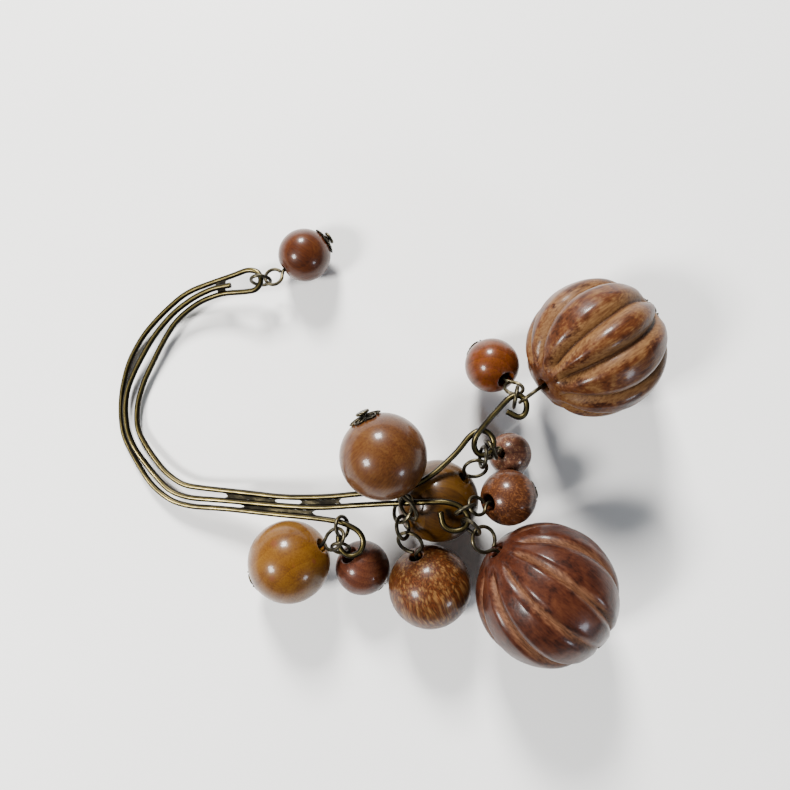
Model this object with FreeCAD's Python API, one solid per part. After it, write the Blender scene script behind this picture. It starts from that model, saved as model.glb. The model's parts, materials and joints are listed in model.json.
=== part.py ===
import FreeCAD, Part

# A brass-wire hair hook with wooden bead dangles, lying on a table.
#
# The hook is two lengths of wire. The long wire is bent double at a small eye: its outer strand ends in
# the short curl, and its inner strand in the loop and curl of the upper arm. The middle wire starts in the
# eye's neck, runs between the two strands and ends in the curl of the lower arm. Each dangle is a wooden
# bead on a headed pin, and the pin's eye hangs on a jump ring or straight on the wire.
#
# Lengths are in millimetres and angles in degrees. X runs along the arms, away from the bend, Y across
# them, towards the tip, and Z up from the table. The dimensions below are set out from a drawing point
# near the middle of the table; the finished model is moved so that its origin is the bottom centre of its
# box.

import math
import os
from collections import namedtuple

from FreeCAD import Vector

# ---- driving dimensions: wire sizes
HOOK_WIRE = 1.1  # diameter of the hook's wire
RING_WIRE = 0.75
PIN_WIRE = 0.7

# ---- driving dimensions: findings
RING = 1.82  # radius of a jump ring, to the middle of its wire
SHARED_RING = 2.4
PALM_RING = 1.95
PLAY = 0.06  # room left between a link and the wire that it hangs on
HEAD_RADIUS = 1.25
HEAD_THICK = 0.5
CAP_THICK = 0.4
CAP_GAP = 0.08  # between the bead and its cap
CAP_BORE = 0.45
PETALS = 6
PETAL_NOTCH = 0.62

# ---- driving dimensions: beads
SMALLEST = 8.0
SMALL = 10.0
MEDIUM = 15.0
LARGE = 25.0
LOBES = 10
GROOVE_RADIUS = 1.15
GROOVE_DEPTH = 0.85
GROOVE_END = 16.0  # angle from the pole at which a groove starts

# ---- driving dimensions: how the hook rises from the table, away from its leftmost point
LEFTMOST = -53.1
SLOPE = 0.15
CURVE = 0.0018
RIDE = 0.65  # the middle strand lies partly on the outer one, this much higher

ARC_SHARE = 0.45  # part of the shorter run that a bend takes
SOLDER_THICK = 0.5


def rise(x, y, extra=0.0):
    """A point of the hook over (x, y), on the height that the whole hook rises along."""
    away = max(x - LEFTMOST, 0.0)
    return Vector(x, y, HOOK_WIRE / 2 + SLOPE * away + CURVE * away ** 2 + extra)


# ---- routes of the wires: the corners of their bends
SHORT_CURL = [
    Vector(-10.1, -26.2, 10.2),
    Vector(-10.1, -28.3, 10.2),
    Vector(-8.2, -30.0, 10.2),
    Vector(-6.2, -29.2, 10.2),
    Vector(-5.5, -27.0, 10.2),
    Vector(-6.6, -25.2, 10.2),
    Vector(-9.7, -23.7, 10.1),
]
OUTER_STRAND = [
    rise(-14.3, -23.1),
    rise(-23.0, -22.5),
    rise(-31.9, -21.7),
    rise(-38.7, -21.4),
    rise(-42.6, -20.4),
    rise(-46.6, -17.5),
    rise(-49.8, -12.9),
    rise(-52.6, -7.9),
    rise(-53.2, -3.5),
    rise(-53.1, 0.8),
    rise(-51.9, 6.3),
    rise(-49.0, 11.6),
    rise(-45.3, 15.6),
    rise(-40.4, 19.7),
    rise(-34.6, 21.5),
]
TIP_EYE = [
    rise(-31.0, 22.5),
    rise(-28.0, 23.5),
    rise(-25.9, 23.0),
    rise(-25.2, 21.1),
    rise(-26.3, 19.4),
    rise(-29.0, 19.2),
]
INNER_STRAND = [
    rise(-33.0, 19.2),
    rise(-37.6, 17.8),
    rise(-42.2, 14.5),
    rise(-45.1, 9.9),
    rise(-48.7, 2.4),
    rise(-49.9, -1.8),
    rise(-49.9, -6.6),
    rise(-47.4, -10.7),
    rise(-44.0, -14.9),
    rise(-40.4, -17.4),
    rise(-35.8, -18.0),
    rise(-27.0, -18.8),
    rise(-20.3, -19.5),
    rise(-12.0, -19.3),
]
UPPER_ARM = [
    Vector(-5.2, -18.5, 11.6),
    Vector(-1.0, -18.6, 12.6),
    Vector(3.0, -17.3, 14.7),
    Vector(6.6, -15.2, 14.8),
    Vector(10.8, -11.4, 14.2),
]
MID_LOOP = [
    Vector(13.2, -8.3, 13.9),
    Vector(15.2, -7.1, 13.9),
    Vector(17.0, -8.1, 13.9),
    Vector(17.6, -9.9, 13.9),
    Vector(16.6, -11.6, 13.7),
    Vector(14.9, -11.9, 13.7),
    Vector(13.8, -10.5, 14.1),
    Vector(14.0, -8.6, 15.0),
]
END_CURL = [
    Vector(16.5, -5.4, 15.6),
    Vector(20.0, -1.7, 15.6),
    Vector(21.6, -1.1, 15.6),
    Vector(23.0, -2.2, 15.6),
    Vector(23.0, -4.3, 15.6),
    Vector(21.9, -5.4, 15.6),
    Vector(19.6, -4.2, 15.6),
]
MIDDLE_BEND = [
    rise(-31.4, 20.5, RIDE),
    rise(-34.7, 20.1, RIDE),
    rise(-38.4, 18.6, RIDE),
    rise(-42.5, 15.9, RIDE),
    rise(-46.6, 11.4, RIDE),
    rise(-50.2, 4.9, RIDE),
    rise(-51.8, 0.9, RIDE),
    rise(-52.2, -3.0, RIDE),
    rise(-51.5, -7.4, RIDE),
    rise(-49.9, -10.6, RIDE),
]
MIDDLE_ARM = [
    rise(-46.3, -15.2),
    rise(-42.9, -18.6),
    rise(-39.0, -19.8),
    rise(-32.0, -20.2),
    rise(-21.2, -21.0),
    rise(-14.0, -21.3),
    rise(-4.5, -20.5),
]
LOWER_CURL = [
    Vector(3.0, -20.0, 14.9),
    Vector(8.5, -19.7, 16.3),
    Vector(11.2, -20.4, 16.2),
    Vector(12.8, -22.4, 16.2),
    Vector(12.1, -24.3, 16.2),
    Vector(10.1, -24.9, 16.2),
    Vector(8.3, -24.1, 16.2),
    Vector(7.8, -21.6, 16.4),
]

# ---- the beads: diameter, bore, radius of the pin's eye, length of its neck, radius of the cap
Bead = namedtuple("Bead", "size bore eye neck cap carved")
BEAD_8 = Bead(SMALLEST, 2.0, 1.55, 0.5, 2.3, False)
BEAD_10 = Bead(SMALL, 3.0, 1.65, 0.6, 2.7, False)
BEAD_15 = Bead(MEDIUM, 2.4, 2.05, 0.6, 3.0, False)
BEAD_PALM = Bead(MEDIUM, 2.4, 2.25, 0.8, 3.0, False)
BEAD_25 = Bead(LARGE, 2.5, 2.2, 0.6, 3.3, True)

# ---- dangles that hang by a jump ring. near: where on the wire the ring sits. faces: the direction that
# the ring's flat faces. side: which way the ring's slack leans, 1 or -1. centre: the bead's centre.
Ringed = namedtuple("Ringed", "name wire near faces side centre bead")
RINGED = [
    Ringed("tip", "long", (-25.4, 21.7, 6.1), (0.01, -0.96, 0.28), -1, (-17.3, 26.4, 5.05), BEAD_10),
    Ringed("orange", "long", (21.2, -1.3, 15.6), (0.98, -0.19, 0.11), -1, (17.9, 4.8, 8.5), BEAD_10),
    Ringed("low_amber", "long", (15.3, -11.8, 13.7), (-0.98, 0.09, 0.2), 1, (7.8, -20.1, 7.55), BEAD_15),
    Ringed("speckled", "long", (17.1, -10.8, 13.8), (0.87, 0.49, -0.06), 1, (21.4, -11.6, 5.9), BEAD_8),
    Ringed("streaky", "middle", (11.9, -21.3, 16.2), (-0.38, 0.9, -0.23), -1, (20.2, -19.3, 11.6), BEAD_10),
    Ringed("dark_melon", "middle", (12.4, -23.6, 16.2), (-0.63, -0.68, 0.38), 1, (26.6, -36, 12.65), BEAD_25),
    Ringed("side_amber", "long", (-9.0, -23.5, 10.2), (-0.92, -0.12, -0.6), 1, (-19.3, -31.1, 7.55), BEAD_15),
]
# ---- dangles whose eye is closed straight round the wire. faces: the direction that the eye's flat faces
Eyed = namedtuple("Eyed", "name wire near faces centre bead")
EYED = [
    Eyed("light_melon", "long", (22.6, -2.0, 15.6), (0.58, -0.81, 0.05), (36.0, 7.4, 12.7), BEAD_25),
    Eyed("dark_red", "long", (-9.9, -28.2, 10.2), (-0.1, -0.79, 0.6), (-6.0, -32.5, 5.3), BEAD_10),
]
# ---- the shared ring on the lower arm, and the two dangles that hang on it
SHARED_NEAR = (1.5, -20.1, 14.3)
SHARED_CENTRE = Vector(1.4, -21.1, 14.65)
SHARED_FACES = Vector(0.76, -0.29, -0.58)
TAN = Eyed("tan", "shared", (2.8, -21.8, 16.5), (-0.74, -0.47, 0.48), (-2.0, -12.0, 18.8), BEAD_15)
PALM = Ringed("palm", "shared", (0.9, -23.4, 15.1), (-0.85, -0.14, -0.52), 1, (6.3, -35.5, 7.9), BEAD_PALM)

# ---- soldered places: where each starts and ends, as points close to the two strands that it joins
SOLDERED = {
    "solder_outer": [("long", "middle", rise(x, -21.8), rise(x, -20.8)) for x in (-29, -25, -21, -17.5, -14)],
    "solder_inner_bend": [("middle", "long", rise(x, -20.4), rise(x, -18.8)) for x in (-32, -29, -25, -21.4)],
    "solder_inner_arm": [("middle", "long", rise(x, -21.0), rise(x, -19.3)) for x in (-17.6, -15, -12, -9.5)],
    "solder_tip_outer": [("long", "middle", rise(x, 21.8), rise(x, 20.5)) for x in (-34.4, -33.2, -32.2)],
    "solder_tip_inner": [("middle", "long", rise(x, 20.2), rise(x, 19.0)) for x in (-34.0, -33.0, -32.2)],
}


def bent_path(corners):
    """Straight runs joined by tangent arcs, as wire bends round a former."""
    edges = []
    start = corners[0]
    for before, corner, after in zip(corners, corners[1:], corners[2:]):
        back = before - corner
        ahead = after - corner
        reach = ARC_SHARE * min(back.Length, ahead.Length)
        back.normalize()
        ahead.normalize()
        half_turn = (math.pi - back.getAngle(ahead)) / 2
        radius = reach / math.tan(half_turn)
        inward = back + ahead
        inward.normalize()
        first = corner + back * reach
        top = corner + inward * (radius / math.cos(half_turn) - radius)
        last = corner + ahead * reach
        edges.append(Part.LineSegment(start, first).toShape())
        edges.append(Part.Arc(first, top, last).toShape())
        start = last
    edges.append(Part.LineSegment(start, corners[-1]).toShape())
    return Part.Wire(edges)


def drawn_wire(path, diameter):
    """A round wire along a path, checked against its section times its length."""
    run = path.Edges[0]
    start = run.FirstParameter
    section = Part.Circle(run.valueAt(start), run.tangentAt(start), diameter / 2).toShape()
    solid = path.makePipeShell([Part.Wire(section)], True, False)
    expected = math.pi * diameter ** 2 / 4 * path.Length
    ratio = round(solid.Volume / expected, 4)
    print("wire", round(path.Length, 1), "mm, volume ratio", ratio, solid.isValid())
    return solid


def nearest(path, point):
    """The point of a path closest to another point, and the path's direction there."""
    best = None
    for edge in path.Edges:
        gap, pairs, _ = edge.distToShape(Part.Vertex(Vector(*point)))
        if best is None or gap < best[0]:
            best = gap, edge, pairs[0][0]
    _, edge, place = best
    return place, edge.tangentAt(edge.Curve.parameter(place))


# ---- links: where a ring or an eye lies, and what it turns about
Link = namedtuple("Link", "pivot axis centre faces")


def hang_by_ring(dangle, paths, held):
    """A ring pulled tight between its wire and the pin's eye, and the pin pulled tight beyond it.

    Returns the ring's link, the pin's link and the direction of the pin. held is the radius of the wire
    that the ring hangs on.
    """
    ring = PALM_RING if dangle.name == "palm" else RING
    pivot, along = nearest(paths[dangle.wire], dangle.near)
    faces = Vector(*dangle.faces).normalize()
    centre = Vector(*dangle.centre)
    bead = dangle.bead
    to_ring = ring - RING_WIRE / 2 - held - PLAY
    to_eye = bead.eye - PIN_WIRE / 2 - RING_WIRE / 2 - PLAY
    to_bead = to_eye + bead.eye + bead.neck + bead.size / 2
    span = centre - pivot
    sideways = span.dot(faces)
    lean = math.asin(sideways / to_bead)
    beyond = ring + to_bead * math.cos(lean)
    flat = span - faces * sideways
    cosine = (to_ring ** 2 + flat.Length ** 2 - beyond ** 2) / (2 * to_ring * flat.Length)
    bend = math.acos(min(1.0, max(-1.0, cosine)))  # none where the chain is pulled straight
    hang = FreeCAD.Rotation(faces, math.degrees(dangle.side * bend)).multVec(flat).normalize()
    ring_centre = pivot + hang * to_ring
    out = (pivot + flat - ring_centre).normalize()
    low_pivot = ring_centre + out * ring
    direction = out * math.cos(lean) + faces * math.sin(lean)
    ring_link = Link(pivot, along, ring_centre, faces)
    turned = faces.cross(out)
    pin_link = Link(low_pivot, turned, low_pivot + direction * to_eye, turned)
    return ring_link, pin_link, direction


def hang_by_eye(dangle, paths):
    """A pin whose eye is closed round the wire itself: its link and its direction."""
    pivot, along = nearest(paths[dangle.wire], dangle.near)
    centre = Vector(*dangle.centre)
    bead = dangle.bead
    direction = (centre - pivot).normalize()
    faces = Vector(*dangle.faces)
    faces = (faces - direction * faces.dot(direction)).normalize()
    eye_centre = centre - direction * (bead.eye + bead.neck + bead.size / 2)
    return Link(pivot, along, eye_centre, faces), direction


# ---- pieces of a dangle, drawn about the bead's centre with the pin along Z and its eye below
def headed_pin(bead):
    """Round wire with an eye at one end and a flat round head at the other."""
    radius = bead.size / 2
    eye_height = -(radius + bead.neck + bead.eye)
    head_height = radius + CAP_GAP + CAP_THICK + CAP_GAP
    eye = Part.makeTorus(bead.eye, PIN_WIRE / 2, Vector(0, 0, eye_height), Vector(1, 0, 0))
    foot = eye_height + bead.eye
    shank = Part.makeCylinder(PIN_WIRE / 2, head_height - foot + HEAD_THICK / 2, Vector(0, 0, foot))
    head = Part.makeCylinder(HEAD_RADIUS, HEAD_THICK, Vector(0, 0, head_height))
    head = head.makeFillet(HEAD_THICK / 2.5, head.Edges)
    return eye.fuse([shank, head])


def bead_cap(bead):
    """A thin dome over the bead's end, notched into petals round its rim."""
    inner = bead.size / 2 + CAP_GAP
    dome = Part.makeSphere(inner + CAP_THICK).cut(Part.makeSphere(inner))
    dome = dome.common(Part.makeCylinder(bead.cap, bead.size))
    dome = dome.cut(Part.makeCylinder(CAP_BORE, bead.size))
    for petal in range(PETALS):
        angle = 2 * math.pi * petal / PETALS
        place = Vector(bead.cap * math.cos(angle), bead.cap * math.sin(angle), 0)
        dome = dome.cut(Part.makeCylinder(PETAL_NOTCH, bead.size, place))
    return dome


def round_bead(bead):
    """A ball bored through along Z."""
    bore = Part.makeCylinder(bead.bore / 2, 2 * bead.size, Vector(0, 0, -bead.size))
    return Part.makeSphere(bead.size / 2).cut(bore)


def melon_bead(bead):
    """A bored ball carved with grooves from end to end, which leave rounded lobes between them."""
    ball = round_bead(bead)
    track = bead.size / 2 + GROOVE_RADIUS - GROOVE_DEPTH
    sweep = 180 - 2 * GROOVE_END
    for groove in range(LOBES):
        turn = FreeCAD.Rotation(Vector(0, 0, 1), 360 * groove / LOBES)
        channel = Part.makeTorus(track, GROOVE_RADIUS, Vector(), Vector(0, 0, 1), -180, 180, sweep)
        start = FreeCAD.Rotation(Vector(0, 1, 0), -90 + GROOVE_END)
        upright = FreeCAD.Rotation(Vector(1, 0, 0), 90)
        channel.Placement = FreeCAD.Placement(Vector(), turn * start * upright)
        ball = ball.cut(channel)
    return ball


def placed(shape, centre, faces, direction):
    """A dangle's piece moved to its bead's centre, its pin turned along direction."""
    turn = FreeCAD.Rotation(faces, direction.cross(faces), direction, "ZXY")
    shape.Placement = FreeCAD.Placement(centre, turn)
    return shape


def jump_ring(radius, link):
    return Part.makeTorus(radius, RING_WIRE / 2, link.centre, link.faces)


def solder_fillet(stations, paths, wires):
    """Solder run between two strands: a thin web from one to the other, trimmed to their surfaces."""
    sections = []
    for one, other, near_one, near_other in stations:
        first, _ = nearest(paths[one], near_one)
        second, _ = nearest(paths[other], near_other)
        half = Vector(0, 0, SOLDER_THICK / 2)
        corners = [first - half, second - half, second + half, first + half]
        sections.append(Part.makePolygon(corners + corners[:1]))
    web = Part.makeLoft(sections, True, True)
    return max(web.cut(wires).Solids, key=lambda piece: piece.Volume)


# ---- the whole hook. A joint that is free turns all the way round, and the others swing.
Joint = namedtuple("Joint", "name parent child pivot axis free")


def build():
    """Every node's shape, the bodies they belong to, and the joints between the bodies."""
    nodes = {}
    bodies = {"hook": []}
    joints = []

    def add(body, name, shape):
        nodes[name] = shape
        bodies.setdefault(body, []).append(name)

    def join(name, parent, child, pivot, axis, free=False):
        joints.append(Joint(name, parent, child, pivot, axis, free))

    hook = SHORT_CURL + OUTER_STRAND + TIP_EYE + INNER_STRAND + UPPER_ARM + MID_LOOP + END_CURL
    paths = {
        "long": bent_path(hook),
        "middle": bent_path(MIDDLE_BEND + MIDDLE_ARM + LOWER_CURL),
    }
    wires = {name: drawn_wire(path, HOOK_WIRE) for name, path in paths.items()}
    add("hook", "long_wire", wires["long"])
    add("hook", "middle_wire", wires["middle"])
    for name, stations in SOLDERED.items():
        add("hook", name, solder_fillet(stations, paths, list(wires.values())))

    along_middle = nearest(paths["middle"], SHARED_NEAR)
    shared = Link(*along_middle, SHARED_CENTRE, SHARED_FACES.normalize())
    shared_circle = Part.Circle(shared.centre, shared.faces, SHARED_RING).toShape()
    paths["shared"] = Part.Wire(shared_circle)
    add("ring_shared", "ring_shared", jump_ring(SHARED_RING, shared))
    join("shared_ring_swing", "hook", "ring_shared", shared.pivot, shared.axis)

    def add_dangle(dangle, parent, link, direction):
        bead = dangle.bead
        centre = link.centre + direction * (bead.eye + bead.neck + bead.size / 2)
        pin_body = "pin_" + dangle.name
        bead_body = "bead_" + dangle.name
        carve = melon_bead if bead.carved else round_bead
        add(pin_body, pin_body, placed(headed_pin(bead), centre, link.faces, direction))
        add(pin_body, "cap_" + dangle.name, placed(bead_cap(bead), centre, link.faces, direction))
        add(bead_body, bead_body, placed(carve(bead), centre, link.faces, direction))
        join(dangle.name + "_pin_swing", parent, pin_body, link.pivot, link.axis)
        join(dangle.name + "_bead_spin", pin_body, bead_body, centre, direction, free=True)

    for dangle in RINGED + [PALM]:
        on_ring = dangle.wire == "shared"
        parent = "ring_shared" if on_ring else "hook"
        held = (RING_WIRE if on_ring else HOOK_WIRE) / 2
        ring_link, pin_link, direction = hang_by_ring(dangle, paths, held)
        ring_body = "ring_" + dangle.name
        radius = PALM_RING if on_ring else RING
        add(ring_body, ring_body, jump_ring(radius, ring_link))
        join(dangle.name + "_ring_swing", parent, ring_body, ring_link.pivot, ring_link.axis)
        add_dangle(dangle, ring_body, pin_link, direction)
    for dangle in EYED + [TAN]:
        parent = "ring_shared" if dangle.wire == "shared" else "hook"
        link, direction = hang_by_eye(dangle, paths)
        add_dangle(dangle, parent, link, direction)

    box = Part.Compound(list(nodes.values())).optimalBoundingBox(False, False)
    origin = Vector(box.Center.x, box.Center.y, box.ZMin)
    for shape in nodes.values():
        shape.translate(-origin)
    joints = [joint._replace(pivot=joint.pivot - origin) for joint in joints]
    return nodes, bodies, joints


def main():
    os.makedirs("parts", exist_ok=True)
    nodes, _, _ = build()
    for name, shape in nodes.items():
        print(name, round(shape.Volume, 2), shape.isValid(), len(shape.Solids))
        shape.exportStep("parts/" + name + ".step")


main()
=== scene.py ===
import json
import math

import bmesh
import bpy
import numpy as np
from mathutils import Matrix, Vector, noise
from mathutils.bvhtree import BVHTree


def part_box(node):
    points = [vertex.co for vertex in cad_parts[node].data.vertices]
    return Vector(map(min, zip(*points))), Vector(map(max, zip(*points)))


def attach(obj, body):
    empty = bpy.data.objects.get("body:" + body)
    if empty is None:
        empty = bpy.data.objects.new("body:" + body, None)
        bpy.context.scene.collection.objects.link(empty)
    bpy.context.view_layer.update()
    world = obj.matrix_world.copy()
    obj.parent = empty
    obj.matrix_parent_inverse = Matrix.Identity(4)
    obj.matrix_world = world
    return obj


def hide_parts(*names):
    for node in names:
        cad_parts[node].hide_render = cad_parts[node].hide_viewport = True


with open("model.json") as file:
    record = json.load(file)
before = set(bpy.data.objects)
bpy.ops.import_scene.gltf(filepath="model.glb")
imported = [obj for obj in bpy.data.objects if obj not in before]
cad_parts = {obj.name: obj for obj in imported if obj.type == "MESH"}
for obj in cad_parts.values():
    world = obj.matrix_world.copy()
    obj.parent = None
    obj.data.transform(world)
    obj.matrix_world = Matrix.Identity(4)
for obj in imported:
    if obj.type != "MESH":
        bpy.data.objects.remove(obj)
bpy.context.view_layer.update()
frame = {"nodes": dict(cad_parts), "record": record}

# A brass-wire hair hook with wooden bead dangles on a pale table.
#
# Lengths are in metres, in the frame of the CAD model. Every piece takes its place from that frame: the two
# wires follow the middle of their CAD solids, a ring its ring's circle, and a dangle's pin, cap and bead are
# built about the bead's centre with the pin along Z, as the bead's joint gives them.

MM = 0.001
record = frame["record"]
nodes = frame["nodes"]
joints = {joint["name"]: joint for joint in record["behaviour"]["joints"]}
slots = {part["node"]: part["material_slot"] for part in record["subparts"]}
chance = np.random.default_rng(11)
noise.seed_set(11)  # unseeded, noise_vector starts from the clock

# ---- sizes that the frame doesn't give
HOOK_WIRE = 0.55 * MM  # radii of the three wires in the CAD model
RING_WIRE = 0.375 * MM
PIN_WIRE = 0.35 * MM
THINNER = 0.02 * MM  # taken off the radii of the hook's and the pins' wires, so that close links don't touch
RING_THINNER = 0.03 * MM
HEAD_THICK = 0.5 * MM  # a pin's flat head
POINT = 0.02 * MM  # radius left open at the middle of a turned disc
STEP = 0.25 * MM  # between the stations of a swept wire
FILIGREE = 0.2 * MM  # radius of a bead cap's wire


# ---- meshes
def new_piece(name, points, faces, matrix=None):
    """A smooth-shaded mesh object. Its mesh keeps the piece's own coordinates, in millimetres, as "local"."""
    mesh = bpy.data.meshes.new(name)
    mesh.from_pydata([tuple(point) for point in points], [], faces)
    mesh.update()
    mesh.polygons.foreach_set("use_smooth", [True] * len(mesh.polygons))
    piece = bpy.data.objects.new(name, mesh)
    bpy.context.collection.objects.link(piece)
    keep_local(piece)
    if matrix is not None:
        mesh.transform(matrix)
    return piece


def keep_local(piece):
    """Stores where each point lies now, in millimetres, for the materials."""
    flat = np.empty(len(piece.data.vertices) * 3)
    piece.data.vertices.foreach_get("co", flat)
    layer = piece.data.attributes.new("local", "FLOAT_VECTOR", "POINT")
    layer.data.foreach_set("vector", flat / MM)


def joined(parts):
    """Several (points, faces) lists as one."""
    points = []
    faces = []
    for part_points, part_faces in parts:
        start = len(points)
        points += [Vector(point) for point in part_points]
        faces += [[start + corner for corner in face] for face in part_faces]
    return points, faces


def softened(points, rounds):
    """A line with its corners eased, ends kept."""
    line = np.array(points, float)
    for _ in range(rounds):
        middle = (np.roll(line, 1, 0) + 2 * line + np.roll(line, -1, 0)) / 4
        middle[0] = line[0]
        middle[-1] = line[-1]
        line = middle
    return [Vector(point) for point in line]


def skin(rows, columns, closed):
    """Faces between neighbouring rows of points, each row a ring. closed joins the last row to the first."""
    faces = []
    for row in range(rows if closed else rows - 1):
        here = row * columns
        ahead = (row + 1) % rows * columns
        for column in range(columns):
            beside = (column + 1) % columns
            faces.append([here + column, here + beside, ahead + beside, ahead + column])
    return faces


def frames_along(line, closed):
    """The way a line runs at each point, two directions across it, and the twist that a closed line needs."""
    count = len(line)
    tangents = []
    for place in range(count):
        before = line[(place - 1) % count] if closed or place else line[0]
        after = line[(place + 1) % count] if closed or place < count - 1 else line[-1]
        tangents.append((after - before).normalized())
    side = tangents[0].orthogonal().normalized()
    frames = []
    for tangent in tangents:
        side = (side - tangent * side.dot(tangent)).normalized()
        frames.append((side.copy(), tangent.cross(side)))
    twist = 0.0
    if closed:
        last, other = frames[-1]
        first = (frames[0][0] - tangents[-1] * frames[0][0].dot(tangents[-1])).normalized()
        twist = math.atan2(first.dot(other), first.dot(last))
    return tangents, frames, twist


def tube(line, radius, sides=20, closed=False, wander=0.0, seed=0):
    """A wire swept along a line. Its open ends are cut square, with the burr rounded off."""
    count = len(line)
    tangents, frames, twist = frames_along(line, closed)
    stations = [(line[i], frames[i], 1.0, twist * i / count) for i in range(count)]
    if not closed:
        rounding = 0.3  # of the radius
        start = []
        end = []
        for share in (0.0, 0.35, 0.7):
            shrink = 1 - rounding * (1 - math.sqrt(1 - (1 - share) ** 2))
            reach = rounding * radius * (1 - share)
            start.append((line[0] - tangents[0] * reach, frames[0], shrink, 0.0))
            end.insert(0, (line[-1] + tangents[-1] * reach, frames[-1], shrink, 0.0))
        stations = start + stations + end
    dent = 1.4 * MM  # size of the wander along the wire
    points = []
    for centre, (one, other), size, turn in stations:
        for corner in range(sides):
            angle = 2 * math.pi * corner / sides + turn
            out = one * math.cos(angle) + other * math.sin(angle)
            rough = 0.0
            if wander:
                rough = wander * noise.noise((centre + out * radius) / dent + Vector((seed, 0, 0)))
            points.append(centre + out * (radius * size * (1 + rough)))
    rows = len(stations)
    faces = skin(rows, sides, closed)
    if not closed:
        faces.append(list(range(sides))[::-1])
        faces.append([(rows - 1) * sides + corner for corner in range(sides)])
    return points, faces


def turned(profile, segments, shape=None):
    """A profile of (radius, height) revolved about Z. shape moves each point once it is placed."""
    points = []
    for radius, height in profile:
        for segment in range(segments):
            angle = 2 * math.pi * segment / segments
            point = Vector((radius * math.cos(angle), radius * math.sin(angle), height))
            points.append(shape(point) if shape else point)
    return points, skin(len(profile), segments, closed=True)


def lumped(points, size, height, seed):
    """Points pushed about by smooth noise of that size and height."""
    shift = Vector((seed, 2.0 * seed, 0))
    return [point + noise.noise_vector(point / size + shift) * height for point in points]


# ---- places, read from the frame
def vertices(name):
    """A CAD node's points, as rows of an array."""
    mesh = nodes[name].data
    flat = np.empty(len(mesh.vertices) * 3)
    mesh.vertices.foreach_get("co", flat)
    return flat.reshape(-1, 3)


def flat_axis(points):
    """The direction in which points spread least: the way that a flat ring faces."""
    spread = points - points.mean(0)
    _, axes = np.linalg.eigh(spread.T @ spread)
    return Vector(axes[:, 0]).normalized()


def tree_of(*names):
    """The surfaces of some CAD nodes, for rays and nearest points."""
    surface = bmesh.new()
    for name in names:
        surface.from_mesh(nodes[name].data)
    tree = BVHTree.FromBMesh(surface)
    surface.free()
    return tree


def centre_line(name, radius):
    """The middle of a wire, felt out from inside its CAD solid, from one cut end to the other."""
    tree = tree_of(name)
    face = nodes[name].data.polygons[len(nodes[name].data.polygons) // 2]
    inside = face.center - face.normal * radius
    ways = []
    count = 400  # directions tried, spread evenly over a sphere
    golden = math.pi * (3 - math.sqrt(5))
    for index in range(count):
        height = 1 - 2 * (index + 0.5) / count
        angle = index * golden
        flat = math.sqrt(1 - height ** 2)
        way = Vector((flat * math.cos(angle), flat * math.sin(angle), height))
        ways.append((tree.ray_cast(inside, way)[3] or 0.0, index, way))
    best = max(ways)[2]

    def centred(point, along):
        one = along.orthogonal().normalized()
        other = along.cross(one)
        hits = []
        rays = 12
        for index in range(rays):
            angle = 2 * math.pi * index / rays
            hit = tree.ray_cast(point, one * math.cos(angle) + other * math.sin(angle))[0]
            hits.append(hit)
        return sum(hits, Vector()) / len(hits)

    def walked(along):
        place = centred(inside, along)
        line = [place]
        while True:
            ahead = tree.ray_cast(place, along)[3]
            if ahead is None or ahead < 1.2 * STEP:
                line.append(place + along * (ahead or 0.0))
                return line
            new = centred(place + along * STEP, along)
            along = (new - place).normalized()
            place = new
            line.append(place)

    return walked(-best)[:0:-1] + walked(best)


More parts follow.
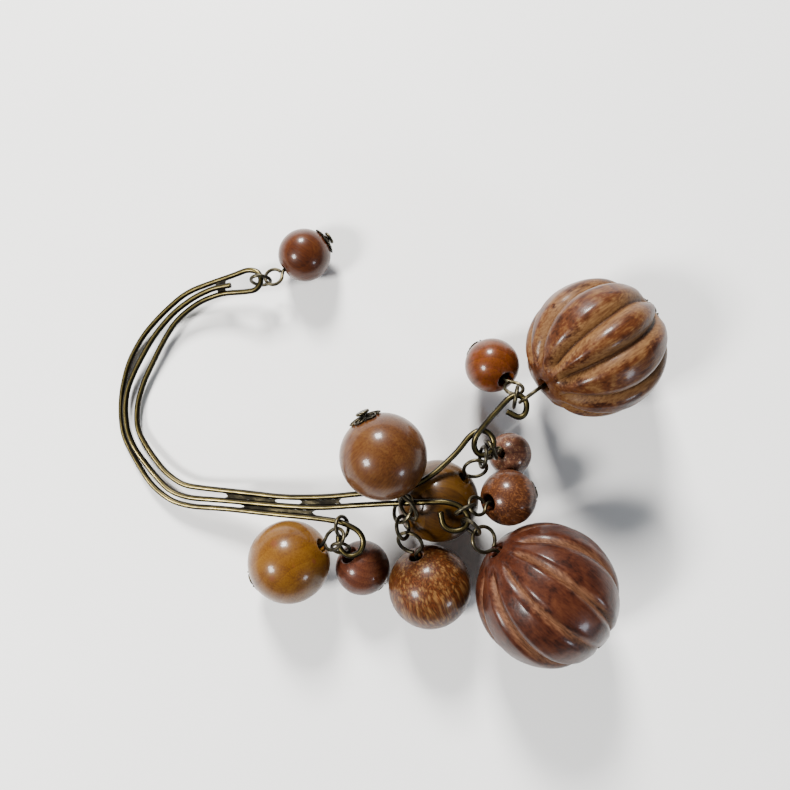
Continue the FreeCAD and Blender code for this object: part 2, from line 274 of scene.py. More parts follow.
# ---- materials
class Finish:
    """One material's nodes, added by short calls. Coordinates are the piece's own, in millimetres."""

    def __init__(self, name):
        self.material = bpy.data.materials.new(name)
        self.material.use_nodes = True
        self.tree = self.material.node_tree
        self.shader = self.tree.nodes["Principled BSDF"]
        self.place = self.add("ShaderNodeAttribute", attribute_name="local").outputs["Vector"]

    def add(self, kind, inputs=None, **settings):
        """A node of that kind, with its inputs filled and its settings made."""
        made = self.tree.nodes.new(kind)
        for key, value in settings.items():
            setattr(made, key, value)
        for key, value in (inputs or {}).items():
            self.put(made.inputs[key], value)
        return made

    def put(self, socket, value):
        """Links an output to a socket, or writes a constant on it."""
        if isinstance(value, bpy.types.NodeSocket):
            self.tree.links.new(value, socket)
        else:
            socket.default_value = value

    def set(self, **values):
        """Fills the shader's own sockets, named with underscores for spaces."""
        for key, value in values.items():
            self.put(self.shader.inputs[key.replace("_", " ")], value)

    def scaled(self, place, scale, turn=(0, 0, 0), shift=(0, 0, 0)):
        """Coordinates scaled, turned (in radians) and shifted."""
        inputs = {"Vector": place, "Scale": scale, "Rotation": turn, "Location": shift}
        return self.add("ShaderNodeMapping", inputs).outputs[0]

    def noise(self, scale, detail=3.0, place=None, distortion=0.0, roughness=0.55):
        """Smooth noise from 0 to 1."""
        inputs = {"Vector": place or self.place, "Scale": scale, "Detail": detail, "Distortion": distortion,
                  "Roughness": roughness}
        return self.add("ShaderNodeTexNoise", inputs).outputs["Fac"]

    def cells(self, place, scale):
        """The distance to the nearest of some scattered points."""
        inputs = {"Vector": place, "Scale": scale, "Randomness": 1.0}
        return self.add("ShaderNodeTexVoronoi", inputs).outputs["Distance"]

    def ramp(self, value, stops):
        """A colour for each value, from stops of (value, colour)."""
        made = self.add("ShaderNodeValToRGB", {"Fac": value})
        stops = [(at, (*colour, 1)) for at, colour in stops]
        elements = made.color_ramp.elements
        elements[0].position, elements[0].color = stops[0]
        elements[1].position, elements[1].color = stops[-1]
        for at, colour in stops[1:-1]:
            elements.new(at).color = colour
        return made.outputs["Color"]

    def fade(self, value, low, high, to_low=0.0, to_high=1.0):
        """A value's range from low to high stretched to another range, and held beyond its ends."""
        inputs = {"Value": value, "From Min": low, "From Max": high, "To Min": to_low, "To Max": to_high}
        return self.add("ShaderNodeMapRange", inputs).outputs["Result"]

    def math(self, operation, one, other=0.0):
        """One piece of arithmetic, such as ADD or MULTIPLY."""
        return self.add("ShaderNodeMath", {0: one, 1: other}, operation=operation).outputs[0]

    def weighed(self, *parts):
        """The sum of some values, each times its weight."""
        total = None
        for value, weight in parts:
            part = self.math("MULTIPLY", value, weight)
            total = part if total is None else self.math("ADD", total, part)
        return total

    def centred(self, value):
        """Noise moved to lie about 0."""
        return self.math("SUBTRACT", value, 0.5)

    def mix(self, share, one, other):
        """One colour with that share of the other laid over it."""
        made = self.add("ShaderNodeMix", data_type="RGBA")
        self.put(made.inputs["Factor"], share)
        colours = [socket for socket in made.inputs if socket.type == "RGBA"]
        self.put(colours[0], one if isinstance(one, bpy.types.NodeSocket) else (*one, 1))
        self.put(colours[1], other if isinstance(other, bpy.types.NodeSocket) else (*other, 1))
        return [socket for socket in made.outputs if socket.type == "RGBA"][0]

    def tinted(self, colour, share, most, tint):
        """A colour with a tint laid over it, up to the most where the share is 1."""
        return self.mix(self.math("MULTIPLY", share, most), colour, tint)

    def bump(self, height, strength, distance):
        """A normal tilted by a height."""
        made = self.add("ShaderNodeBump", {"Height": height, "Strength": strength, "Distance": distance})
        return made.outputs["Normal"]

    def attribute(self, name):
        """A number kept on the mesh's points."""
        return self.add("ShaderNodeAttribute", attribute_name=name).outputs["Fac"]


LACQUER = dict(Coat_Roughness=0.13, Coat_IOR=1.4, Specular_IOR_Level=0.12)  # on every bead but the carved


def aged_metal(name, bright, mid, dark, patina, rough=(0.22, 0.5), drawn=False):
    """Brass with a dark patina in soft clouds and specks, rubbed bright in places, with fine scratches.

    patina is where the middle colour lies on the scale of wear from 0 to 1. On drawn wire the colour is
    painted brighter on the faces that point up or down, a painted highlight along the top that is partly
    wear, and darker at the sides, patina together with painted shade; near the other wire it is darker still,
    patina with painted shade between the strands.
    """
    finish = Finish(name)
    clouds = finish.noise(0.35, 4.0, distortion=0.4)
    specks = finish.noise(4.5, 3.0)
    worn = finish.weighed((clouds, 0.7), (specks, 0.3))
    if drawn:
        worn = finish.fade(worn, 0.0, 1.0, 0.3, 0.7)
        # Painted highlight and shade: faces that point up or down come out bright, partly wear and partly a
        # painted highlight along the top, and the sides dark, partly painted shade.
        top_light_and_wear = finish.math("SUBTRACT", finish.attribute("rubbed"), 0.55)
        # Patina and painted shade: darker where the wire lies close against the other wire.
        worn = finish.weighed((worn, 1.0), (top_light_and_wear, 0.45), (finish.attribute("patina_and_shade"), -0.4))
    colour = finish.ramp(worn, [(patina - 0.14, dark), (patina, mid), (patina + 0.16, bright)])
    scratches = finish.noise(3.0, 2.0, finish.scaled(finish.place, (6, 0.5, 3), (0.4, 0.2, 0.7)))
    finish.set(Base_Color=colour, Metallic=1.0)
    finish.set(Roughness=finish.fade(worn, patina - 0.15, patina + 0.15, rough[1], rough[0]))
    finish.set(Normal=finish.bump(finish.weighed((specks, 0.7), (scratches, 0.3)), 0.25, 0.04 * MM))
    return finish.material


def wood(name, dark, mid, light, rings, figure, turn=(0, 0, 0), extra=None):
    """Lacquered wood: growth rings about an axis outside the bead, long fibres and dark pores.

    rings is the spacing of the growth rings, figure how strongly they show, and turn how the grain lies.
    """
    finish = Finish(name)
    place = finish.scaled(finish.place, (1, 1, 1), turn, (9, 4, 0))
    wave = {"Vector": finish.scaled(place, (1, 1, 0.12)), "Scale": 0.31 / rings, "Distortion": 3.2,
            "Detail": 3.0, "Detail Scale": 0.55, "Detail Roughness": 0.6}
    saw = {"wave_type": "RINGS", "rings_direction": "Z", "wave_profile": "SAW"}
    growth = finish.add("ShaderNodeTexWave", wave, **saw).outputs["Fac"]
    fibres = finish.noise(3.6, 4.0, finish.scaled(place, (1, 1, 0.06)))
    clouds = finish.noise(0.22, 3.0, place, 0.4)
    tone = finish.weighed((growth, figure * 0.55), (fibres, 0.65 - figure * 0.3), (clouds, 0.45))
    colour = finish.ramp(tone, [(0.32, dark), (0.55, mid), (0.82, light)])
    pores = finish.fade(finish.noise(5.0, 2.0, finish.scaled(place, (1.6, 1.6, 0.09))), 0.62, 0.7)
    colour = finish.tinted(colour, pores, 0.55, dark)
    if extra:
        colour = extra(finish, place, colour)
    finish.set(Base_Color=colour, Coat_Weight=0.36, **LACQUER)
    finish.set(Roughness=finish.fade(tone, 0.3, 0.8, 0.42, 0.3))
    height = finish.math("SUBTRACT", finish.math("MULTIPLY", fibres, 0.5), pores)
    finish.set(Normal=finish.bump(height, 0.22, 0.05 * MM))
    return finish.material


def light_speckles(finish, place, colour):
    """Small pale rings and crescents scattered closely over the bead, with dark pits between them."""
    broken = finish.fade(finish.noise(2.2, 2.0, place), 0.42, 0.55)
    for scale, share in ((1.15, 0.6), (1.9, 0.4)):
        away = finish.cells(place, scale)
        off_ring = finish.math("ABSOLUTE", finish.math("SUBTRACT", away, 0.3))
        ring = finish.math("MULTIPLY", finish.fade(off_ring, 0.03, 0.1, 1.0, 0.0), broken)
        colour = finish.tinted(colour, ring, share, (0.25, 0.14, 0.07))
        pit = finish.fade(away, 0.1, 0.16, 1.0, 0.0)
        colour = finish.tinted(colour, pit, 0.6, (0.02, 0.005, 0.003))
    return colour


def gold_flecks(finish, place, colour):
    """Short golden flecks along the grain."""
    flecks = finish.noise(3.4, 3.0, finish.scaled(place, (1, 1, 0.14)), 0.3)
    return finish.tinted(colour, finish.fade(flecks, 0.5, 0.68), 0.5, (0.19, 0.07, 0.022))


def mottled(finish, place, colour):
    """Soft darker blotches."""
    blotches = finish.noise(0.55, 4.0, place, 0.6, 0.65)
    return finish.tinted(colour, finish.fade(blotches, 0.5, 0.66), 0.5, (0.045, 0.011, 0.004))


def dark_knots(finish, place, colour):
    """Small dark burr knots with a softer stain round them."""
    size = finish.math("MULTIPLY", finish.noise(0.9, 1.0, place), 0.42)
    past = finish.math("SUBTRACT", finish.cells(place, 0.33), size)
    return finish.tinted(colour, finish.fade(past, -0.06, 0.06, 1.0, 0.0), 0.7, (0.1, 0.028, 0.008))


def dark_streaks(finish, place, colour):
    """Long dark streaks along the grain."""
    streaks = finish.noise(1.5, 4.0, finish.scaled(place, (1, 1, 0.16)), 0.5)
    return finish.tinted(colour, finish.fade(streaks, 0.5, 0.64), 0.65, (0.09, 0.02, 0.008))


def palm(name):
    """Palm wood: golden strands that run through a dark ground, dots at their ends and streaks along them."""
    finish = Finish(name)
    waver = finish.add("ShaderNodeTexNoise", {"Vector": finish.place, "Scale": 0.35, "Detail": 2.0})
    sway = {0: finish.place, 1: waver.outputs["Color"]}
    bent = finish.add("ShaderNodeVectorMath", sway, operation="ADD").outputs[0]
    strand = finish.fade(finish.cells(finish.scaled(bent, (1, 1, 0.08)), 1.9), 0.16, 0.6, 1.0, 0.0)
    fine = finish.noise(5.0, 3.0, finish.scaled(bent, (1, 1, 0.05)))
    browns = [(0.35, (0.022, 0.007, 0.002)), (0.6, (0.068, 0.018, 0.004)), (0.75, (0.14, 0.038, 0.007))]
    golds = [(0.3, (0.08, 0.035, 0.011)), (0.7, (0.185, 0.091, 0.029))]
    broken = finish.fade(finish.noise(0.5, 2.0, finish.scaled(bent, (1, 1, 0.4))), 0.32, 0.5)
    share = finish.math("MULTIPLY", strand, broken)
    finish.set(Base_Color=finish.mix(share, finish.ramp(fine, browns), finish.ramp(fine, golds)))
    finish.set(Coat_Weight=0.28, **LACQUER)
    finish.set(Roughness=finish.fade(fine, 0.3, 0.7, 0.34, 0.46))
    finish.set(Normal=finish.bump(finish.math("ADD", strand, fine), 0.2, 0.05 * MM))
    return finish.material


def carved(name, dark, mid, light, bare, bare_dark, edge, ragged, groove_shade):
    """Lacquered lobes, rubbed paler towards the grooves between them, with a dark line of painted shade at
    the bottom.

    edge is the groove depths over which the pale wood comes in, as shares of the full depth, and ragged how
    much the grain shifts them; the last argument is how dark the painted shade at the groove bottoms is.
    """
    finish = Finish(name)
    fibres = finish.noise(2.6, 5.0, finish.scaled(finish.place, (1, 1, 0.16)), 0.3)
    clouds = finish.noise(0.3, 4.0, distortion=0.8)
    specks = finish.noise(3.2, 3.0, roughness=0.7)
    tone = finish.weighed((fibres, 0.4), (clouds, 0.6))
    skin_colour = finish.ramp(tone, [(0.36, dark), (0.5, mid), (0.66, light)])
    cleaned = finish.ramp(fibres, [(0.3, bare_dark), (0.68, bare)])
    cut = finish.attribute("carve")
    fibrous = finish.centred(fibres)
    cloudy = finish.centred(clouds)
    shifted = finish.weighed((cut, 1.0), (fibrous, 0.9 * ragged), (cloudy, 1.1 * ragged))
    rubbed = finish.fade(shifted, *edge)
    colour = finish.mix(rubbed, skin_colour, cleaned)
    # Painted shade: a dark line along the bottoms of the deepest grooves.
    deepest = finish.fade(finish.weighed((cut, 1.0), (finish.centred(specks), 0.5)), 0.74, 0.98)
    colour = finish.tinted(colour, deepest, groove_shade, dark)
    colour = finish.tinted(colour, finish.fade(specks, 0.62, 0.7), 0.45, dark)
    finish.set(Base_Color=colour, Coat_Roughness=0.15, Coat_IOR=1.38, Specular_IOR_Level=0.12)
    finish.set(Coat_Weight=finish.fade(cut, 0.1, 0.6, 0.24, 0.03))
    finish.set(Roughness=finish.fade(rubbed, 0.0, 1.0, 0.36, 0.55))
    finish.set(Normal=finish.bump(finish.math("ADD", fibres, finish.noise(1.3, 3.0)), 0.35, 0.08 * MM))
    return finish.material


METALS = {
    "antique_brass": dict(
        bright=(0.25, 0.195, 0.07), mid=(0.07, 0.056, 0.022), dark=(0.012, 0.01, 0.007),
        patina=0.6, rough=(0.24, 0.42), drawn=True),
    "ring_brass": dict(
        bright=(0.22, 0.18, 0.09), mid=(0.055, 0.048, 0.03), dark=(0.016, 0.014, 0.011),
        patina=0.53),
    "pin_brass": dict(
        bright=(0.24, 0.19, 0.09), mid=(0.065, 0.055, 0.033), dark=(0.018, 0.016, 0.012),
        patina=0.52),
    "cap_brass": dict(
        bright=(0.17, 0.13, 0.06), mid=(0.04, 0.034, 0.022), dark=(0.012, 0.011, 0.009),
        patina=0.54),
    "solder": dict(
        bright=(0.05, 0.041, 0.022), mid=(0.017, 0.015, 0.01), dark=(0.008, 0.007, 0.006),
        patina=0.52, rough=(0.4, 0.7)),
}
WOODS = {
    "wood_red_brown": dict(
        dark=(0.02, 0.0048, 0.0017), mid=(0.049, 0.012, 0.0034), light=(0.077, 0.025, 0.0068),
        rings=1.4, figure=0.25, turn=(1.2, 0.3, 0)),
    "wood_orange_red": dict(
        dark=(0.024, 0.0037, 0.00076), mid=(0.065, 0.015, 0.0014), light=(0.11, 0.029, 0.0034),
        rings=1.8, figure=0.3, turn=(0.3, 1.0, 0), extra=dark_streaks),
    "wood_amber": dict(
        dark=(0.015, 0.0047, 0.00076), mid=(0.043, 0.017, 0.002), light=(0.066, 0.029, 0.0035),
        rings=2.1, figure=0.4, turn=(1.3, 0.2, 0.4)),
    "wood_speckled": dict(
        dark=(0.022, 0.0084, 0.007), mid=(0.066, 0.024, 0.014), light=(0.12, 0.049, 0.027),
        rings=1.2, figure=0.3, extra=light_speckles),
    "wood_streaky_red": dict(
        dark=(0.012, 0.003, 0.0015), mid=(0.04, 0.012, 0.0045), light=(0.067, 0.024, 0.009),
        rings=1.0, figure=0.15, turn=(0.2, 0.5, 0), extra=gold_flecks),
    "wood_amber_knots": dict(
        dark=(0.05, 0.014, 0.0017), mid=(0.1, 0.039, 0.0044), light=(0.14, 0.064, 0.0093),
        rings=2.4, figure=0.2, turn=(0.9, 0.6, 0), extra=dark_knots),
    "wood_dark_red": dict(
        dark=(0.015, 0.0044, 0.0023), mid=(0.052, 0.014, 0.0067), light=(0.098, 0.033, 0.014),
        rings=1.3, figure=0.25, turn=(0.4, 0.9, 0)),
    "wood_tan": dict(
        dark=(0.026, 0.0072, 0.0016), mid=(0.063, 0.022, 0.0057), light=(0.1, 0.045, 0.013),
        rings=1.9, figure=0.12, turn=(1.1, 0.4, 0.2), extra=mottled),
}
CARVED = {
    "carved_dark": dict(
        dark=(0.011, 0.0029, 0.0018), mid=(0.036, 0.0092, 0.0042), light=(0.059, 0.018, 0.0076),
        bare=(0.14, 0.062, 0.03), bare_dark=(0.056, 0.02, 0.0085),
        edge=(0.2, 0.75), ragged=0.45, groove_shade=0.15),
    "carved_light": dict(
        dark=(0.019, 0.0052, 0.002), mid=(0.06, 0.018, 0.006), light=(0.094, 0.038, 0.01),
        bare=(0.14, 0.07, 0.026), bare_dark=(0.067, 0.026, 0.0084),
        edge=(0.02, 0.42), ragged=1.0, groove_shade=0.8),
}
MATERIALS = {"palm_wood": palm("palm_wood")}
for maker, looks in ((aged_metal, METALS), (wood, WOODS), (carved, CARVED)):
    MATERIALS.update({name: maker(name, **look) for name, look in looks.items()})


def finished(piece, node, body):
    """Gives a piece its node's material and place in the model."""
    piece.data.materials.append(MATERIALS[slots[node]])
    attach(piece, body)
    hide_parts(node)
    return piece


# ---- the hook
def hook_wire(name, other, seed):
    """A drawn wire, with how deep each point lies against the other wire kept for its patina and painted
    shade.
    """
    line = softened(centre_line(name, HOOK_WIRE), 6)
    piece = new_piece(name + "_drawn", *tube(line, HOOK_WIRE - THINNER, 24, wander=0.01, seed=seed))
    beside = tree_of(other)
    reach = 0.8 * MM  # how far the patina and painted shade near the other wire reach
    patina_and_shade = piece.data.attributes.new("patina_and_shade", "FLOAT", "POINT")
    rubbed = piece.data.attributes.new("rubbed", "FLOAT", "POINT")
    for vertex in piece.data.vertices:
        away = beside.find_nearest(vertex.co)[3]
        patina_and_shade.data[vertex.index].value = max(0.0, 1 - away / reach)
        # How squarely the point faces up or down, for the wire's painted top highlight, which is partly wear,
        # and the painted shade at its sides.
        rubbed.data[vertex.index].value = vertex.normal.z ** 4
    return finished(piece, name, "hook")


def solder_run(name, seed):
    """Solder flowed into the gap between two strands, with a lumpy, slightly sunken skin."""
    piece = new_piece(name + "_flowed", *mesh_lists(nodes[name].data))
    remesh = piece.modifiers.new("fine", "REMESH")
    remesh.mode = "VOXEL"
    remesh.voxel_size = 0.09 * MM
    piece = applied(piece)
    points = drawn_in([vertex.co.copy() for vertex in piece.data.vertices])
    points = lumped(points, size=0.7 * MM, height=0.05 * MM, seed=seed)
    for vertex, point in zip(piece.data.vertices, points):
        vertex.co = point
    piece.data.polygons.foreach_set("use_smooth", [True] * len(piece.data.polygons))
    keep_local(piece)
    return finished(piece, name, "hook")


def drawn_in(points):
    """The ends of a solder run, drawn back between the strands into hollow curves, as it sets."""
    wires = tree_of("long_wire", "middle_wire")
    spots = np.array(points)
    middle = spots.mean(0)
    _, axes = np.linalg.eigh((spots - middle).T @ (spots - middle))
    along = (spots - middle) @ axes[:, 2]
    aways = np.array([wires.find_nearest(point)[3] for point in points])
    half = np.abs(along).max()
    reach = 0.6 * half
    near_end = np.clip((np.abs(along) - half + reach) / reach, 0, 1) ** 2
    pull = 0.3 * reach * np.sqrt(aways / aways.max()) * near_end
    moved = spots - np.outer(np.sign(along) * pull, axes[:, 2])
    return [Vector(point) for point in moved]


def mesh_lists(mesh):
    """A mesh's points and faces, with the corners that its faces don't share joined."""
    shell = bmesh.new()
    shell.from_mesh(mesh)
    bmesh.ops.remove_doubles(shell, verts=shell.verts, dist=0.001 * MM)
    points = [vertex.co.copy() for vertex in shell.verts]
    faces = [[vertex.index for vertex in face.verts] for face in shell.faces]
    shell.free()
    return points, faces


def applied(piece):
    """The piece with its modifiers made part of its mesh."""
    bpy.context.view_layer.update()
    shaped = piece.evaluated_get(bpy.context.evaluated_depsgraph_get())
    mesh = bpy.data.meshes.new_from_object(shaped)
    piece.modifiers.clear()
    piece.data = mesh
    return piece


# ---- rings
def jump_ring(name, seed):
    """Wire bent to a ring whose two cut ends meet at a fine, slightly stepped joint."""
    low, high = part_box(name)
    centre = (low + high) / 2
    points = vertices(name)
    faces = flat_axis(points)
    radius = max((Vector(point) - centre).length for point in points) - RING_WIRE
    across = faces.orthogonal().normalized()
    other = faces.cross(across)
    cut = 2 * math.pi * chance.random()  # where round the ring its joint is
    slit = 0.06 * MM / radius
    step = 0.03 * MM
    count = 72
    line = []
    for index in range(count + 1):
        share = index / count
        angle = cut + slit + share * (2 * math.pi - 2 * slit)
        out = across * math.cos(angle) + other * math.sin(angle)
        line.append(centre + out * radius + faces * (step * (share - 0.5)))
    shape = tube(line, RING_WIRE - RING_THINNER, 20, wander=0.02, seed=seed)
    return finished(new_piece(name + "_bent", *shape), name, name)


# ---- dangles
def pin(name, matrix, bead_radius):
    """A headed pin: a flat round head, a shank through the bead, and an eye bent at the end."""
    local = [matrix.inverted() @ Vector(point) for point in vertices("pin_" + name)]
    bottom = min(point.z for point in local)
    top = max(point.z for point in local)
    eye_out = max(abs(point.y) for point in local if point.z < -bead_radius)
    eye = eye_out - PIN_WIRE
    eye_height = bottom + eye_out
    head = max(math.hypot(point.x, point.y) for point in local if point.z > bead_radius)
    turn_in = 24  # degrees round the eye's circle at which the wire joins it
    turn_out = 356
    pace = 0.2 * MM
    lean = 0.35 * MM  # left below the straight shank for the wire to lean over to the eye
    line = []
    height = top - pace
    while height > eye_height + eye + lean:
        line.append(Vector((0, 0, height)))
        height -= pace
    for angle in np.arange(turn_in, turn_out, 5):
        bent = math.radians(angle)
        line.append(Vector((0, eye * math.sin(bent), eye_height + eye * math.cos(bent))))
    shank = tube(softened(line, 3), PIN_WIRE - THINNER, 20, wander=0.02, seed=len(name))
    rim = HEAD_THICK / 2.4
    profile = [(POINT, top), (head - rim, top)]
    for degrees in (22, 45, 68, 90, 112, 135, 158):
        bent = math.radians(degrees)
        out = head - rim + rim * math.sin(bent)
        profile.append((out, top - HEAD_THICK / 2 + HEAD_THICK / 2 * math.cos(bent)))
    profile += [(head - rim, top - HEAD_THICK), (POINT, top - HEAD_THICK)]
    disc = turned(profile[::-1], 48)
    piece = new_piece("pin_" + name + "_bent", *joined([shank, disc]), matrix)
    return finished(piece, "pin_" + name, "pin_" + name)


def bead_cap(name, matrix):
    """A filigree cap: six looped petals and two collars of wire on a thin notched dome, with metal grains."""
    local = [matrix.inverted() @ Vector(point) for point in vertices("cap_" + name)]
    wide = max(math.hypot(point.x, point.y) for point in local)
    sphere = max(point.length for point in local) - FILIGREE
    petals = 6
    around = 40  # points round a petal's loop
    collar = 0.52 * MM
    bore = 0.45 * MM

    def on_dome(radius, angle, lift=0.0):
        ball = sphere + lift
        flat = min(radius, 0.97 * ball)
        return Vector((flat * math.cos(angle), flat * math.sin(angle), math.sqrt(ball ** 2 - flat ** 2)))

    parts = []
    inner = 0.24 * wide
    outer = wide - FILIGREE
    for petal in range(petals):
        middle = 2 * math.pi * petal / petals + math.pi / petals
        loop = []
        for index in range(around):
            angle = 2 * math.pi * index / around
            reach = (inner + outer) / 2 + (outer - inner) / 2 * math.cos(angle)
            width = 0.44 * (2 * math.pi / petals) * math.sin(angle) * (1.12 - 0.1 * math.cos(angle))
            loop.append(on_dome(reach, middle + width))
        parts.append(tube(loop, 0.75 * FILIGREE, 10, closed=True, wander=0.08, seed=petal))
        vein = [on_dome(inner + (outer - inner) * share, middle) for share in np.linspace(0.05, 0.62, 12)]
        parts.append(tube(vein, 0.5 * FILIGREE, 8))
        parts.append(grain(on_dome(inner + (outer - inner) * 0.68, middle, 0.1 * FILIGREE), FILIGREE * 0.8))
        parts.append(grain(on_dome(outer * 0.985, middle + math.pi / petals), FILIGREE * 0.95))
    for radius, size in ((collar, 0.9), (inner + 0.1 * MM, 0.65)):
        ring = [on_dome(radius, 2 * math.pi * index / 48) for index in range(48)]
        parts.append(tube(ring, size * FILIGREE, 10, closed=True))
    edge = 0.86 * wide
    profile = []
    for lift, shares in ((-0.5, np.linspace(0.0, 1.0, 14)), (-1.0, np.linspace(1.0, 0.0, 14))):
        for share in shares:
            spot = on_dome(bore + (edge - bore) * share, 0, lift * FILIGREE)
            profile.append((spot.x, spot.z))

    def notched(point):
        angle = math.atan2(point.y, point.x)
        flat = math.hypot(point.x, point.y)
        share = max(0.0, (flat / wide - 0.4) / 0.6)
        shrink = 1 - 0.2 * share * (0.5 + 0.5 * math.cos(petals * angle)) ** 2
        return on_dome(flat * shrink, angle, point.length - sphere)

    parts.append(turned(profile, 96, notched))
    piece = new_piece("cap_" + name + "_filigree", *joined(parts), matrix)
    return finished(piece, "cap_" + name, "pin_" + name)


def grain(centre, radius):
    """A small ball of metal."""
    rows = 8
    profile = []
    for row in range(rows + 1):
        angle = math.pi * row / rows
        profile.append((max(radius * math.sin(angle), 0.01 * radius), radius * math.cos(angle)))
    points, faces = turned(profile[::-1], 12)
    return [point + centre for point in points], faces


def bored_profile(radius, bore, chamfer, rows):
    """Half the outline of a bored ball: up its outside, over the chamfer and down the bore."""
    profile = []
    start = math.asin((bore + chamfer) / radius)
    for row in range(rows + 1):
        angle = math.pi - start - (math.pi - 2 * start) * row / rows
        profile.append((radius * math.sin(angle), radius * math.cos(angle)))
    end = math.sqrt(radius ** 2 - (bore + chamfer) ** 2)
    rounding = [(0.62, 0.1), (0.3, 0.32), (0.08, 0.66), (0.0, 1.0)]
    top = [(bore + chamfer * out, end - chamfer * down) for out, down in rounding]
    wall = [(bore, height) for height in np.linspace(top[-1][1], -top[-1][1], 16)[1:-1]]
    bottom = [(flat, -height) for flat, height in top[::-1]]
    return profile + top + wall + bottom


def round_bead(name, matrix, radius, bore, seed):
    """A turned wooden ball, very slightly out of round, with an eased edge at each end of its bore."""
    def worn(point):
        spot = point / (3.5 * MM) + Vector((seed, 0, 0))
        return point * (1 - 0.004 * (0.5 + 0.5 * noise.noise(spot)))

    profile = bored_profile(radius, bore, 0.28 * MM, 96)
    piece = new_piece("bead_" + name + "_turned", *turned(profile, 144, worn), matrix)
    return finished(piece, "bead_" + name, "bead_" + name)


CARVING = {  # depth and half width of the grooves
    "carved_dark": (0.8 * MM, 1.9 * MM),
    "carved_light": (1.5 * MM, 2.7 * MM),
}


def melon_bead(name, matrix, radius, bore, seed):
    """A ball carved by hand into ten lobes: each groove wanders a little, and its depth and width vary."""
    lobes = 10
    draw = np.random.default_rng(seed)
    places = [2 * math.pi * (lobe + 0.16 * (draw.random() - 0.5)) / lobes for lobe in range(lobes)]
    usual_depth, usual_width = CARVING[slots["bead_" + name]]
    depths = [usual_depth * (0.85 + 0.4 * draw.random()) for _ in range(lobes)]
    widths = [usual_width * (0.9 + 0.25 * draw.random()) for _ in range(lobes)]
    phases = [6.28 * draw.random() for _ in range(lobes)]
    pole_end = math.radians(15)  # no groove nearer to a pole than this
    run_out = math.radians(16)
    sway = 0.035
    half_lobe = 0.6  # radians, past which a groove can't reach
    unevenness = 0.012 * radius
    knife_marks = 0.05 * MM

    def depth_at(point):
        polar = math.atan2(math.hypot(point.x, point.y), point.z)
        from_pole = min(polar, math.pi - polar)
        fading = min(1.0, max(0.0, (from_pole - pole_end) / run_out))
        fading = fading * fading * (3 - 2 * fading)
        deepest = 0.0
        for place, depth, width, phase in zip(places, depths, widths, phases):
            middle = place + sway * math.sin(2.2 * polar + phase)
            angle = math.atan2(point.y, point.x) - middle
            angle = (angle + math.pi) % (2 * math.pi) - math.pi
            if abs(angle) > half_lobe:
                continue
            away = abs(angle) * radius * math.sin(polar)
            narrow = width * (0.35 + 0.65 * math.sin(polar))
            shape = max(0.0, 1 - away / narrow)
            deepest = max(deepest, depth * fading * shape ** 1.7)
        return deepest

    def cut(point):
        if point.length < 0.93 * radius:
            return point
        facets = noise.noise(point / (1.8 * MM) + Vector((seed, 0, 0)))
        swell = noise.noise(point / (6 * MM) + Vector((0, seed, 0)))
        shallow = unevenness * (0.5 + 0.5 * swell)
        share = (radius - shallow - depth_at(point) - knife_marks * (0.5 + 0.5 * facets)) / radius
        return point * share

    profile = bored_profile(radius, bore, 0.5 * MM, 200)
    points, faces = turned(profile, 480, cut)
    piece = new_piece("bead_" + name + "_carved", points, faces, matrix)
    layer = piece.data.attributes.new("carve", "FLOAT", "POINT")
    for vertex, local in zip(piece.data.vertices, points):
        deep = depth_at(local) / usual_depth if local.length > 0.8 * radius else 1.0
        layer.data[vertex.index].value = min(1.0, deep)
    return finished(piece, "bead_" + name, "bead_" + name)


def dangle(name, seed):
    """A bead with its pin and cap, set about the bead's centre as its joint says."""
    joint = joints[name + "_bead_spin"]
    centre = Vector(joint["pos_m"])
    along = Vector(joint["axis"]).normalized()
    points = vertices("bead_" + name)
    outward = points - np.array(centre)
    radius = np.linalg.norm(outward, axis=1).max()
    bore = np.linalg.norm(np.cross(outward, np.array(along)), axis=1).min()
    pin_points = vertices("pin_" + name)
    below = (pin_points - np.array(centre)) @ np.array(along)
    faces = flat_axis(pin_points[below < below.min() + 3 * PIN_WIRE])
    faces = (faces - along * faces.dot(along)).normalized()
    matrix = Matrix((faces, along.cross(faces), along)).transposed().to_4x4()
    matrix.translation = centre
    pin(name, matrix, radius)
    bead_cap(name, matrix)
    make = melon_bead if slots["bead_" + name].startswith("carved") else round_bead
    make(name, matrix, radius, bore, seed)


hook_wire("long_wire", "middle_wire", 1)
hook_wire("middle_wire", "long_wire", 2)
for index, name in enumerate(sorted(nodes)):
    if name.startswith("solder"):
        solder_run(name, index)
    if name.startswith("ring"):
        jump_ring(name, index)
    if name.startswith("bead"):
        dangle(name[len("bead_"):], index)


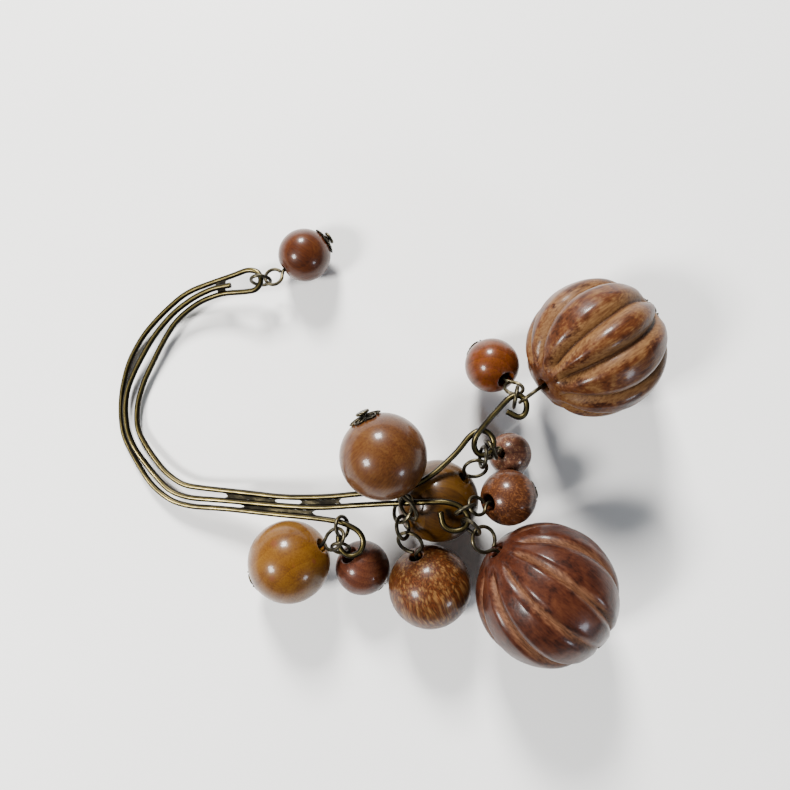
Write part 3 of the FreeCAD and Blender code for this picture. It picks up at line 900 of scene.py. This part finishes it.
# ---- the table, the light and the camera
def pale_table():
    """A wide white table top, very faintly mottled."""
    half = 1.2  # metres
    corners = [(-half, -half, 0), (half, -half, 0), (half, half, 0), (-half, half, 0)]
    table = new_piece("table", corners, [[0, 1, 2, 3]])
    finish = Finish("table_white")
    clouds = finish.noise(0.02, 3.0)
    whites = [(0.3, (0.9, 0.9, 0.89)), (0.7, (0.93, 0.93, 0.92))]
    finish.set(Base_Color=finish.ramp(clouds, whites), Roughness=0.5)
    finish.set(Normal=finish.bump(finish.noise(1.5, 3.0), 0.05, 0.02 * MM))
    table.data.materials.append(finish.material)


AIM = Vector((2.6, 8.5, 0)) * MM  # the point of the table at the middle of the view


def lamp(name, direction, distance, size, watts, colour):
    """A square soft light in that direction from the middle of the view."""
    data = bpy.data.lights.new(name, "AREA")
    data.size = size
    data.energy = watts
    data.color = colour
    light = bpy.data.objects.new(name, data)
    bpy.context.collection.objects.link(light)
    way = Vector(direction).normalized()
    light.location = AIM + way * distance
    light.rotation_euler = (-way).to_track_quat("-Z", "Y").to_euler()


def studio():
    """Two warm lamps and a weak bluish one low down, in a faintly bluish room."""
    warm = (1.0, 0.98, 0.95)
    cool = (0.75, 0.86, 1.0)
    lamp("key", (-0.18, 0.80, 0.58), distance=0.9, size=0.2, watts=24.0, colour=warm)
    lamp("side", (-0.66, -0.26, 0.70), distance=0.8, size=0.18, watts=11.5, colour=warm)
    lamp("low", (0.69, -0.61, 0.39), distance=1.0, size=0.16, watts=3.0, colour=cool)
    world = bpy.data.worlds.new("room")
    world.use_nodes = True
    background = world.node_tree.nodes["Background"].inputs
    background["Color"].default_value = (0.95, 0.97, 1.0, 1)
    background["Strength"].default_value = 0.2
    bpy.context.scene.world = world


def camera():
    """The view: from nearly straight above, tilted a little towards the bottom of the picture."""
    away = 152 * MM
    data = bpy.data.cameras.new("camera")
    data.lens = 35.5
    data.clip_start = 0.005
    tilt = math.radians(4.5)
    eye = bpy.data.objects.new("camera", data)
    bpy.context.collection.objects.link(eye)
    eye.location = AIM + Vector((0, -math.sin(tilt), math.cos(tilt))) * away
    eye.rotation_euler = (tilt, 0, 0)
    bpy.context.scene.camera = eye


pale_table()
studio()
camera()
